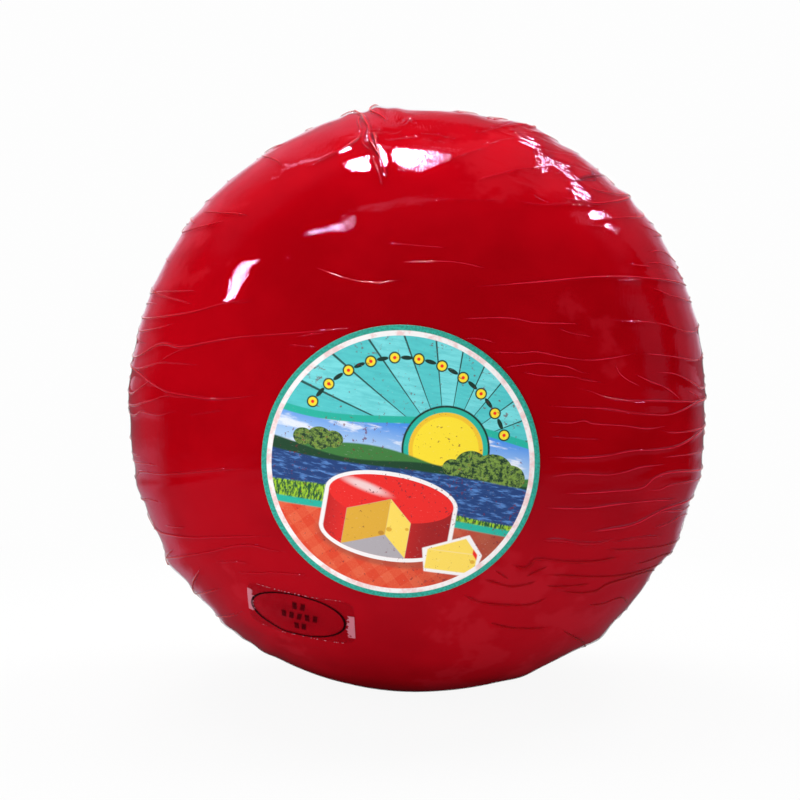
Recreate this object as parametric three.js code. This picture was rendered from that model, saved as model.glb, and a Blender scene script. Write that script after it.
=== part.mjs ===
import * as THREE from 'three';

// A flat-ended ball of cheese in tight clear film, standing on its rim.
// Millimetres, +Z up. The two flat ends face -Y and +Y, and -Y carries the label.
// The origin is on the floor, under the middle of the ball.

// Driving dimensions of the ball
const rimRadius = 75; // half the height and width of the ball
const endReach = 62.5; // from the middle to each flat end, along Y
const shoulderPower = 2.4; // 2 is an ellipsoid, more is flatter ends and rounder shoulders
const diagonalSwell = 0.8; // how far the rim bulges out at its diagonals
const pressedDepth = 0.8; // height lost where the ball stands on its rim
const ballRows = 98; // bands of faces from the bottom to the top
const ballColumns = 50; // faces round each band

// Pleats of the film, gathered on the left and right of the rim
const pleats = {
  perSide: 14,
  lowest: -48, // degrees of latitude on the rim
  highest: 46,
  fanning: 0.16, // share by which they spread towards the flat ends, for each 45 degrees
  shortest: 40, // degrees that one runs on from the rim
  longest: 88,
  height: 0.9,
  halfWidth: 1.8,
  seed: 7,
};

// Corners of film that stand up across the rim. Clock is degrees up from +X, seen from the front.
const corners = [
  { clock: 96, y: -4, high: 1.5, wide: 5.5, long: 20 }, // top knot
  { clock: 44, y: -6, high: 1.1, wide: 3.4, long: 17 }, // upper right flap
  { clock: -3, y: -3, high: 1.0, wide: 4.2, long: 20 }, // right fold
  { clock: -15.5, y: -5, high: 1.2, wide: 3.2, long: 15 }, // right corner
  { clock: -53, y: -8, high: 1.1, wide: 6.5, long: 15 }, // lower right flap
  { clock: 214, y: -8, high: 0.9, wide: 3.6, long: 14 }, // lower left tuck
  { clock: 222, y: -6, high: 0.8, wide: 3.2, long: 16 }, // lower left fold
  { clock: 229, y: -8, high: 0.9, wide: 3.2, long: 14 }, // lower left corner
];

// Label and sticker: each lies on the film, with its middle at x and z from the ball's middle
const label = {
  x: -4.7,
  z: -9.4,
  halfWide: 32.8,
  halfHigh: 32.8,
  corner: 2, // power of the outline: 2 is round, more is squarer
  turn: 0,
  thick: 0.4,
  rings: 7,
  segments: 56,
};
const sticker = {
  x: -29,
  z: -48,
  halfWide: 13.8,
  halfHigh: 7.2,
  corner: 7,
  turn: -11, // degrees, anticlockwise from level
  thick: 0.3,
  rings: 5,
  segments: 44,
};
const skinGap = 0.3; // clear space between the film and what is stuck on it
const calmMargin = 3; // the film lies smooth this far round the label and the sticker

const middleHeight = rimRadius - pressedDepth;
const radians = THREE.MathUtils.degToRad;

// Zero on the smooth ball, negative inside: across/rim and along/end to the shoulder power.
function shoulderValue(p) {
  const across = Math.hypot(p.x, p.z) / rimRadius;
  const along = Math.abs(p.y) / endReach;
  return Math.pow(across, shoulderPower) + Math.pow(along, shoulderPower) - 1;
}

// The point of the smooth ball in a direction from its middle.
function smoothPoint(direction) {
  const reach = Math.pow(shoulderValue(direction) + 1, -1 / shoulderPower);
  return direction.clone().multiplyScalar(reach);
}

// The outward normal of the smooth ball: the slope of shoulderValue.
function smoothNormal(p) {
  const across = Math.hypot(p.x, p.z);
  const rimPart = across > 0 ? Math.pow(across / rimRadius, shoulderPower - 1) / (rimRadius * across) : 0;
  const endPart = Math.pow(Math.abs(p.y) / endReach, shoulderPower - 1) / endReach;
  return new THREE.Vector3(p.x * rimPart, Math.sign(p.y) * endPart, p.z * rimPart).normalize();
}

// Draws from 0 to 1 that are the same each time (a small linear congruence).
function seededDraws(seed) {
  let state = seed;
  return () => {
    state = (state * 1103515245 + 12345) % 2147483648;
    return state / 2147483648;
  };
}

// One pleat for each step up the rim on both sides, with its own length and height.
function makePleats() {
  const draw = seededDraws(pleats.seed);
  const made = [];
  for (const side of [-90, 90]) {
    for (let i = 0; i < pleats.perSide; i += 1) {
      const step = (pleats.highest - pleats.lowest) / (pleats.perSide - 1);
      made.push({
        longitude: side,
        latitude: pleats.lowest + step * (i + 0.5 * (draw() - 0.5)),
        forward: THREE.MathUtils.lerp(pleats.shortest, pleats.longest, draw()),
        backward: THREE.MathUtils.lerp(pleats.shortest, pleats.longest, draw()),
        height: pleats.height * (0.5 + 0.5 * draw()),
      });
    }
  }
  return made;
}

const madePleats = makePleats();

// Height of the pleats at a longitude and latitude: a bell across each line that fades to its two ends.
function pleatHeight(longitude, latitude) {
  let height = 0;
  for (const pleat of madePleats) {
    const along = THREE.MathUtils.euclideanModulo(longitude - pleat.longitude + 180, 360) - 180;
    const towardsFront = Math.sign(along) !== Math.sign(pleat.longitude);
    const run = Math.abs(along) / (towardsFront ? pleat.forward : pleat.backward);
    if (run < 1) {
      const line = pleat.latitude * (1 + pleats.fanning * (Math.abs(along) / 45));
      const off = (radians(latitude - line) * rimRadius) / pleats.halfWidth;
      height = Math.max(height, pleat.height * (1 - run * run) * Math.exp(-off * off));
    }
  }
  return height;
}

// Height of the standing corners: each is a bell along the rim times a bell across it.
function cornerHeight(p) {
  let height = 0;
  for (const corner of corners) {
    const clock = THREE.MathUtils.radToDeg(Math.atan2(p.z, p.x));
    const turn = THREE.MathUtils.euclideanModulo(clock - corner.clock + 180, 360) - 180;
    const round = (radians(turn) * Math.hypot(p.x, p.z)) / corner.wide;
    const over = (p.y - corner.y) / corner.long;
    height += corner.high * Math.exp(-round * round - over * over);
  }
  return height;
}

// The swell of the rim at its diagonals: greatest halfway between the axes, none on the flat ends.
function swellHeight(p) {
  const clock = Math.atan2(p.z, p.x);
  const nearRim = Math.pow(Math.hypot(p.x, p.z) / rimRadius, 4);
  return diagonalSwell * nearRim * Math.pow(Math.sin(2 * clock), 2);
}

// 0 under a stuck-on piece and 1 beyond its margin, so that the film lies smooth there.
function calmShare(p, patch) {
  if (p.y > 0) {
    return 1;
  }
  const dx = p.x - patch.x;
  const dz = p.z - patch.z;
  const cos = Math.cos(radians(patch.turn));
  const sin = Math.sin(radians(patch.turn));
  const across = Math.abs(dx * cos + dz * sin) / (patch.halfWide + calmMargin);
  const up = Math.abs(dz * cos - dx * sin) / (patch.halfHigh + calmMargin);
  const out = Math.pow(Math.pow(across, patch.corner) + Math.pow(up, patch.corner), 1 / patch.corner);
  return THREE.MathUtils.smoothstep(out, 0.97, 1.15);
}

// The outside of the film: the smooth ball lifted along its normal by swell, pleats and corners.
function filmPoint(longitude, latitude) {
  const level = Math.cos(radians(latitude));
  const direction = new THREE.Vector3(
    Math.sin(radians(longitude)) * level,
    -Math.cos(radians(longitude)) * level,
    Math.sin(radians(latitude)),
  );
  const p = smoothPoint(direction);
  const calm = Math.min(calmShare(p, label), calmShare(p, sticker));
  const lift = calm * (swellHeight(p) + Math.max(pleatHeight(longitude, latitude), cornerHeight(p)));
  p.addScaledVector(smoothNormal(p), lift);
  p.z = Math.max(p.z + middleHeight, 0);
  return p;
}

// Geometry from points and triangles.
function indexedGeometry(points, triangles) {
  const geometry = new THREE.BufferGeometry();
  geometry.setFromPoints(points);
  geometry.setIndex(triangles);
  geometry.computeVertexNormals();
  return geometry;
}

// The ball: rings of points from the bottom pole to the top pole.
function ballGeometry() {
  const points = [filmPoint(0, -90)];
  for (let row = 1; row < ballRows; row += 1) {
    for (let column = 0; column < ballColumns; column += 1) {
      points.push(filmPoint((column * 360) / ballColumns, -90 + (row * 180) / ballRows));
    }
  }
  points.push(filmPoint(0, 90));
  const top = points.length - 1;
  const at = (row, column) => 1 + (row - 1) * ballColumns + (column % ballColumns);
  const triangles = [];
  for (let column = 0; column < ballColumns; column += 1) {
    triangles.push(0, at(1, column + 1), at(1, column));
    triangles.push(top, at(ballRows - 1, column), at(ballRows - 1, column + 1));
  }
  for (let row = 1; row < ballRows - 1; row += 1) {
    for (let column = 0; column < ballColumns; column += 1) {
      const corner = [at(row, column), at(row, column + 1), at(row + 1, column + 1), at(row + 1, column)];
      triangles.push(corner[0], corner[1], corner[2], corner[0], corner[2], corner[3]);
    }
  }
  return indexedGeometry(points, triangles);
}

// Slides a point along a line until it meets the smooth ball, by halving the step.
function landOnBall(start, towards) {
  let near = 0;
  let far = rimRadius;
  for (let halving = 0; halving < 40; halving += 1) {
    const middle = (near + far) / 2;
    if (shoulderValue(start.clone().addScaledVector(towards, middle)) > 0) {
      near = middle;
    } else {
      far = middle;
    }
  }
  return start.clone().addScaledVector(towards, (near + far) / 2);
}

// A thin curved patch on the front: an outline of rings, laid on the ball along the normal at its middle.
function patchGeometry(patch) {
  const middle = landOnBall(new THREE.Vector3(patch.x, -rimRadius, patch.z), new THREE.Vector3(0, 1, 0));
  const normal = smoothNormal(middle);
  const level = new THREE.Vector3(0, 0, 1).cross(normal).normalize();
  const up = normal.clone().cross(level).normalize();
  const across = level.clone().applyAxisAngle(normal, radians(patch.turn));
  const along = up.clone().applyAxisAngle(normal, radians(patch.turn));
  const facePoint = (share, angle, lift) => {
    const cos = Math.cos(angle);
    const sin = Math.sin(angle);
    const power = patch.corner;
    const reach = Math.pow(
      Math.pow(Math.abs(cos) / patch.halfWide, power) + Math.pow(Math.abs(sin) / patch.halfHigh, power),
      -1 / power,
    );
    const start = middle.clone().addScaledVector(normal, patch.halfWide / 2);
    start.addScaledVector(across, share * reach * cos).addScaledVector(along, share * reach * sin);
    const p = landOnBall(start, normal.clone().negate());
    p.addScaledVector(smoothNormal(p), lift);
    p.z += middleHeight;
    return p;
  };
  const points = [];
  const addFace = (lift) => {
    const first = points.length;
    points.push(facePoint(0, 0, lift));
    for (let ring = 1; ring <= patch.rings; ring += 1) {
      for (let segment = 0; segment < patch.segments; segment += 1) {
        points.push(facePoint(ring / patch.rings, (segment * 2 * Math.PI) / patch.segments, lift));
      }
    }
    const ringStart = (ring) => first + 1 + (ring - 1) * patch.segments;
    return (ring, segment) => (ring === 0 ? first : ringStart(ring) + (segment % patch.segments));
  };
  const inner = addFace(skinGap);
  const outer = addFace(skinGap + patch.thick);
  const triangles = [];
  for (let segment = 0; segment < patch.segments; segment += 1) {
    const next = segment + 1;
    triangles.push(outer(0, 0), outer(1, segment), outer(1, next));
    triangles.push(inner(0, 0), inner(1, next), inner(1, segment));
    for (let ring = 1; ring < patch.rings; ring += 1) {
      triangles.push(outer(ring, segment), outer(ring + 1, segment), outer(ring + 1, next));
      triangles.push(outer(ring, segment), outer(ring + 1, next), outer(ring, next));
      triangles.push(inner(ring, segment), inner(ring + 1, next), inner(ring + 1, segment));
      triangles.push(inner(ring, segment), inner(ring, next), inner(ring + 1, next));
    }
    const edge = patch.rings;
    triangles.push(outer(edge, segment), inner(edge, segment), inner(edge, next));
    triangles.push(outer(edge, segment), inner(edge, next), outer(edge, next));
  }
  return indexedGeometry(points, triangles);
}

function namedMesh(name, geometry, colour, roughness) {
  const material = new THREE.MeshStandardMaterial({ color: colour, roughness, metalness: 0 });
  const mesh = new THREE.Mesh(geometry, material);
  mesh.name = name;
  return mesh;
}

const ballOfCheese = new THREE.Group();
ballOfCheese.add(namedMesh('cheese_ball_in_film', ballGeometry(), 0xa8071a, 0.2));
ballOfCheese.add(namedMesh('round_label', patchGeometry(label), 0x25a799, 0.6));
ballOfCheese.add(namedMesh('oval_mark_sticker', patchGeometry(sticker), 0x7c0a14, 0.3));

export default ballOfCheese;
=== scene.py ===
import math
import bpy
import mathutils
import numpy as np
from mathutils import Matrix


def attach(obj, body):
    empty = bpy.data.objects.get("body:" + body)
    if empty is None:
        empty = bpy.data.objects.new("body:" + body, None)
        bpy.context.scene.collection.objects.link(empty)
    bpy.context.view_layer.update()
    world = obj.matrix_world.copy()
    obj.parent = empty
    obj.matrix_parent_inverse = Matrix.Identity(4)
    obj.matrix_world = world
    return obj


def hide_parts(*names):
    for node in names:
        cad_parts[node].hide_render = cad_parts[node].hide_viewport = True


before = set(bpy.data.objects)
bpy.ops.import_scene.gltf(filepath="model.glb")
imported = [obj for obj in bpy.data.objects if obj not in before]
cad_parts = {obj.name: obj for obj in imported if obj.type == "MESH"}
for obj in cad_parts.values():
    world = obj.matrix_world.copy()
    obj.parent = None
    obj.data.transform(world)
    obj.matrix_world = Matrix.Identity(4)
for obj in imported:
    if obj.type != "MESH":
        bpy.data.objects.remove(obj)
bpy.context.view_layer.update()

mm = 0.001  # metres in a millimetre
degree = math.pi / 180


# Camera: a long lens level with the front, looking a little down on the ball
camera = {
    "frame": 800,  # steps across the square frame
    "focal": 2302,  # focal length in those steps
    "sensor": 36,  # millimetres
    "distance": 600 * mm,  # to the middle of the ball
    "above": 5.5,  # degrees over level
    "aim": np.array([-4.7 * mm, 0, 0]),  # from the ball's middle
    "sight": (0.78, 1.2, 4200),  # where a line of sight is searched for the ball, in distances, and its steps
}

# Ball: a body turned about Y, so it has two flat ends and a round rim, and it stands on that rim
ball = {
    "rimRadius": 75 * mm,
    "endReach": 62.5 * mm,  # from the middle to each flat end
    "shoulderPower": 2.4,  # 2 is an ellipsoid, more is flatter ends
    "diagonalSwell": 0.8 * mm,  # how far the rim bulges at its diagonals
    "middleHeight": 74.2 * mm,  # of the middle over the floor
}


def cameraAxes():
    # place, right, up and forward of the camera, counted from the ball's middle
    tilt = camera["above"] * degree
    forward = np.array([0, math.cos(tilt), -math.sin(tilt)])
    right = np.array([1.0, 0, 0])
    return camera["aim"] - camera["distance"] * forward, right, np.cross(right, forward), forward


def makeCamera():
    place, right, up, forward = cameraAxes()
    data = bpy.data.cameras.new("camera")
    data.sensor_width = camera["sensor"]
    data.lens = camera["focal"] / camera["frame"] * camera["sensor"]
    data.clip_start = 10 * mm
    item = bpy.data.objects.new("camera", data)
    item.location = place + np.array([0, 0, ball["middleHeight"]])
    item.rotation_euler = (math.pi / 2 - camera["above"] * degree, 0, 0)
    bpy.context.scene.collection.objects.link(item)
    bpy.context.scene.camera = item


makeCamera()
print("camera: placed")


def shoulderValue(p):
    # (across / rim)^power + (along / end)^power - 1: zero on the ball, less inside it
    across = np.hypot(p[..., 0], p[..., 2]) / ball["rimRadius"]
    along = np.abs(p[..., 1]) / ball["endReach"]
    return across ** ball["shoulderPower"] + along ** ball["shoulderPower"] - 1


def smoothBall(lon, lat):
    # the direction (sin lon cos lat, -cos lon cos lat, sin lat), carried out to where shoulderValue is zero
    way = np.stack([np.sin(lon) * np.cos(lat), -np.cos(lon) * np.cos(lat), np.sin(lat) + 0 * lon], -1)
    return way * (shoulderValue(way) + 1)[..., None] ** (-1 / ball["shoulderPower"])


def smoothNormal(p):
    # the slope of shoulderValue, made one long
    power = ball["shoulderPower"] - 1
    across = np.maximum(np.hypot(p[..., 0], p[..., 2]), 1e-9)
    rimPart = (across / ball["rimRadius"]) ** power / ball["rimRadius"] / across
    endPart = (np.abs(p[..., 1]) / ball["endReach"]) ** power / ball["endReach"]
    slope = np.stack([p[..., 0] * rimPart, np.sign(p[..., 1]) * endPart, p[..., 2] * rimPart], -1)
    return slope / np.linalg.norm(slope, axis=-1, keepdims=True)


def lonLat(p):
    return np.arctan2(p[..., 0], -p[..., 1]), np.arctan2(p[..., 2], np.hypot(p[..., 0], p[..., 1]))


def seenAt(places):
    # longitude and latitude of the ball at places in the camera's frame: each line of sight is walked in
    # small steps to its first point inside the ball, or to its nearest point where it passes by
    place, right, up, forward = cameraAxes()
    spots = np.asarray(places, float) - camera["frame"] / 2
    way = forward * camera["focal"] + spots[:, :1] * right - spots[:, 1:] * up
    way /= np.linalg.norm(way, axis=1, keepdims=True)
    steps = np.linspace(*camera["sight"]) * camera["distance"]
    line = place + steps[None, :, None] * way[:, None, :]
    value = shoulderValue(line)
    first = np.where((value <= 0).any(1), np.argmax(value <= 0, 1), np.argmin(value, 1))
    return lonLat(line[np.arange(len(line)), first])


def smoothstep(low, high, value):
    t = np.clip((value - low) / (high - low), 0, 1)
    return t * t * (3 - 2 * t)


def standing(p):
    # moved up to its place over the floor, with what would reach under the floor pressed flat
    p = p + np.array([0, 0, ball["middleHeight"]])
    p[..., 2] = np.maximum(p[..., 2], 0)
    return p


def gridFaces(rows, columns, wrapColumns, poles, first=0):
    # the corners of a grid's faces; with poles, the first and the last row are one point each
    start = first + (1 if poles else 0)
    index = np.arange((rows - 2 if poles else rows) * columns).reshape(-1, columns) + start
    if wrapColumns:
        index = np.concatenate([index, index[:, :1]], 1)
    quads = np.stack([index[:-1, :-1], index[:-1, 1:], index[1:, 1:], index[1:, :-1]], -1).reshape(-1, 4)
    faces = quads.tolist()
    if poles:
        low, high = index[0], index[-1]
        last = first + (rows - 2) * columns + 1
        faces += np.stack([0 * low[1:] + first, low[1:], low[:-1]], -1).tolist()
        faces += np.stack([0 * high[1:] + last, high[:-1], high[1:]], -1).tolist()
    return faces


def poleOrder(values):
    # a grid of values in the order of a mesh with poles
    return np.concatenate([values[0, :1], values[1:-1].reshape(-1, *values.shape[2:]), values[-1, :1]])


def newPiece(name, points, faces, smooth=True):
    mesh = bpy.data.meshes.new(name)
    mesh.from_pydata(points.tolist(), [], faces)
    mesh.polygons.foreach_set("use_smooth", [smooth] * len(mesh.polygons))
    mesh.update()
    item = bpy.data.objects.new(name, mesh)
    bpy.context.scene.collection.objects.link(item)
    return item


def gridPiece(name, points, wrapColumns=False, poles=False, smooth=True):
    rows, columns = points.shape[:2]
    flat = poleOrder(points) if poles else points.reshape(-1, 3)
    return newPiece(name, flat, gridFaces(rows, columns, wrapColumns, poles), smooth)


def addValues(item, name, values):
    layer = item.data.attributes.new(name, "FLOAT", "POINT")
    layer.data.foreach_set("value", np.ascontiguousarray(values, np.float32))


def addUv(item, uv):
    # one place on the flat pattern for each point of the mesh
    corners = np.zeros(len(item.data.loops), np.int32)
    item.data.loops.foreach_get("vertex_index", corners)
    layer = item.data.uv_layers.new(name="flatPattern")
    layer.data.foreach_set("uv", uv[corners].astype(np.float32).ravel())


def srgb(red, green, blue):
    # a colour from screen values of 0 to 255
    screen = np.array([red, green, blue]) / 255
    linear = np.where(screen <= 0.04045, screen / 12.92, ((screen + 0.055) / 1.055) ** 2.4)
    return (*linear.tolist(), 1.0)


def newMaterial(name):
    material = bpy.data.materials.new(name)
    material.use_nodes = True
    material.node_tree.nodes.clear()
    return material, material.node_tree


def feed(tree, socket, value):
    if isinstance(value, bpy.types.NodeSocket):
        tree.links.new(value, socket)
    else:
        socket.default_value = value


def addNode(tree, kind, values, **settings):
    # a node with its settings, and its sockets fed by name or number
    node = tree.nodes.new(kind)
    for key, value in settings.items():
        setattr(node, key, value)
    for key, value in values.items():
        feed(tree, node.inputs[key], value)
    return node


def maths(tree, operation, a, b=0.0, clamp=False):
    return addNode(tree, "ShaderNodeMath", {0: a, 1: b}, operation=operation, use_clamp=clamp).outputs[0]


def times(tree, a, b):
    return maths(tree, "MULTIPLY", a, b)


def plus(tree, a, b):
    return maths(tree, "ADD", a, b)


def larger(tree, a, b):
    return maths(tree, "MAXIMUM", a, b)


def lengthOf(tree, vector):
    return addNode(tree, "ShaderNodeVectorMath", {0: vector}, operation="LENGTH").outputs["Value"]


def partsOf(tree, vector):
    # its x, y and z
    return addNode(tree, "ShaderNodeSeparateXYZ", {0: vector}).outputs


def mixColour(tree, share, a, b):
    node = addNode(tree, "ShaderNodeMix", {}, data_type="RGBA")
    for socket, value in zip((node.inputs[0], node.inputs[6], node.inputs[7]), (share, a, b)):
        feed(tree, socket, value)
    return node.outputs[2]


def mixShader(tree, share, a, b):
    return addNode(tree, "ShaderNodeMixShader", {0: share, 1: a, 2: b}).outputs[0]


def ramp(tree, value, low, high, least=0.0, most=1.0):
    # least below low and most above high, smooth between
    values = {0: value, 1: low, 2: high, 3: least, 4: most}
    return addNode(tree, "ShaderNodeMapRange", values, interpolation_type="SMOOTHSTEP").outputs[0]


def noise(tree, vector, scale, detail=2.0, roughness=0.5):
    values = {"Vector": vector, "Scale": scale, "Detail": detail, "Roughness": roughness}
    return addNode(tree, "ShaderNodeTexNoise", values).outputs[0]


def mapped(tree, vector, scale=(1, 1, 1), place=(0, 0, 0), turn=0.0, kind="POINT"):
    values = {"Vector": vector, "Location": place, "Rotation": (0, 0, turn), "Scale": scale}
    return addNode(tree, "ShaderNodeMapping", values, vector_type=kind).outputs[0]


def objectPlaces(tree):
    return tree.nodes.new("ShaderNodeTexCoord").outputs["Object"]


def bumpFrom(tree, height, strength, distance):
    values = {"Height": height, "Strength": strength, "Distance": distance}
    return addNode(tree, "ShaderNodeBump", values).outputs[0]


def attribute(tree, name):
    return addNode(tree, "ShaderNodeAttribute", {}, attribute_name=name).outputs["Fac"]


def finishMaterial(tree, shader):
    addNode(tree, "ShaderNodeOutputMaterial", {"Surface": shader})


def newGroup(name, inputs, outputs):
    # an empty node group with its sockets, and what is given to it by name
    group = bpy.data.node_groups.new(name, "ShaderNodeTree")
    for socket, kind in inputs:
        group.interface.new_socket(socket, in_out="INPUT", socket_type="NodeSocket" + kind)
    for socket, kind in outputs:
        group.interface.new_socket(socket, in_out="OUTPUT", socket_type="NodeSocket" + kind)
    given = group.nodes.new("NodeGroupInput").outputs
    return group, {socket.name: socket for socket in given if socket.name}


def placeGroup(tree, group, values):
    node = tree.nodes.new("ShaderNodeGroup")
    node.node_tree = group
    for key, value in values.items():
        feed(tree, node.inputs[key], value)
    return node.outputs[0]


film = {
    "ior": 1.5,
    "roughness": 0.025,
    "mirror": (1.0, 0.6, 1.0, 1),  # what the red under it does to a reflection
    "bump": 0.1 * mm,
    "scratches": 0.5,
    "ripples": 0.9,
    "wrinkles": 2.7,
    "scratchScale": (2000, 400, 260),  # how often each repeats in a metre along x, y and z
    "rippleScale": (120, 120, 300),
    "wrinkleScale": (140, 140, 900),
    "wrinkleLean": (0, -0.35, 0),
    "gatherMiddle": (0.035, -0.035, 0.138),  # where the wrinkles are, and how far they reach each way
    "gatherReach": (0.028, 0.04, 0.016),
}


def rippleGroup():
    # the fine relief of tight clear film: short upright scratches in patches, slow ripples, and small sharp
    # wrinkles that run down over the right shoulder, where the film is gathered
    inputs = [("Places", "Vector")] + [(amount, "Float") for amount in ("Scratches", "Ripples", "Wrinkles")]
    group, given = newGroup("filmRipple", inputs, [("Height", "Float")])
    places = given["Places"]
    scratch = noise(group, mapped(group, places, film["scratchScale"]), 1.0, 2, 0.6)
    scratch = times(group, scratch, ramp(group, noise(group, places, 70, 2), 0.38, 0.6, 0.25, 1.0))
    slow = noise(group, mapped(group, places, film["rippleScale"]), 1.0, 2, 0.45)
    values = {"Vector": places, "Rotation": film["wrinkleLean"]}
    leaning = addNode(group, "ShaderNodeMapping", values).outputs[0]
    wrinkle = noise(group, mapped(group, leaning, film["wrinkleScale"]), 1.0, 2, 0.5)
    away = lengthOf(group, mapped(group, places, film["gatherReach"], film["gatherMiddle"], kind="TEXTURE"))
    wrinkle = times(group, wrinkle, ramp(group, away, 0.5, 1.0, 1.0, 0.0))
    height = plus(group, times(group, scratch, given["Scratches"]), times(group, slow, given["Ripples"]))
    height = plus(group, height, times(group, wrinkle, given["Wrinkles"]))
    result = group.nodes.new("NodeGroupOutput")
    group.links.new(height, result.inputs["Height"])
    return group


filmRipple = rippleGroup()


def clearSkin(tree, cover, colour, metal, scratches, ripples, ior, shine, gloss=1.0):
    # clear film: a mirror by Fresnel on its outer side, see-through otherwise, and it hides what is under it
    # by cover; ior and gloss are for that mirror, and shine is the ior of what hides
    height = placeGroup(tree, filmRipple, {
        "Places": objectPlaces(tree),
        "Scratches": scratches,
        "Ripples": ripples,
        "Wrinkles": film["wrinkles"]})
    bump = bumpFrom(tree, height, 1.0, film["bump"])
    mirror = addNode(tree, "ShaderNodeFresnel", {"IOR": ior, "Normal": bump}).outputs[0]
    outside = maths(tree, "SUBTRACT", 1.0, tree.nodes.new("ShaderNodeNewGeometry").outputs["Backfacing"])
    mirror = times(tree, times(tree, mirror, outside), gloss)
    rest = times(tree, maths(tree, "SUBTRACT", 1.0, cover), mirror)
    return addNode(tree, "ShaderNodeBsdfPrincipled", {
        "Base Color": colour,
        "Metallic": metal,
        "Roughness": film["roughness"],
        "IOR": shine,
        "Alpha": maths(tree, "ADD", cover, rest, clamp=True),
        "Normal": bump}).outputs[0]


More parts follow.
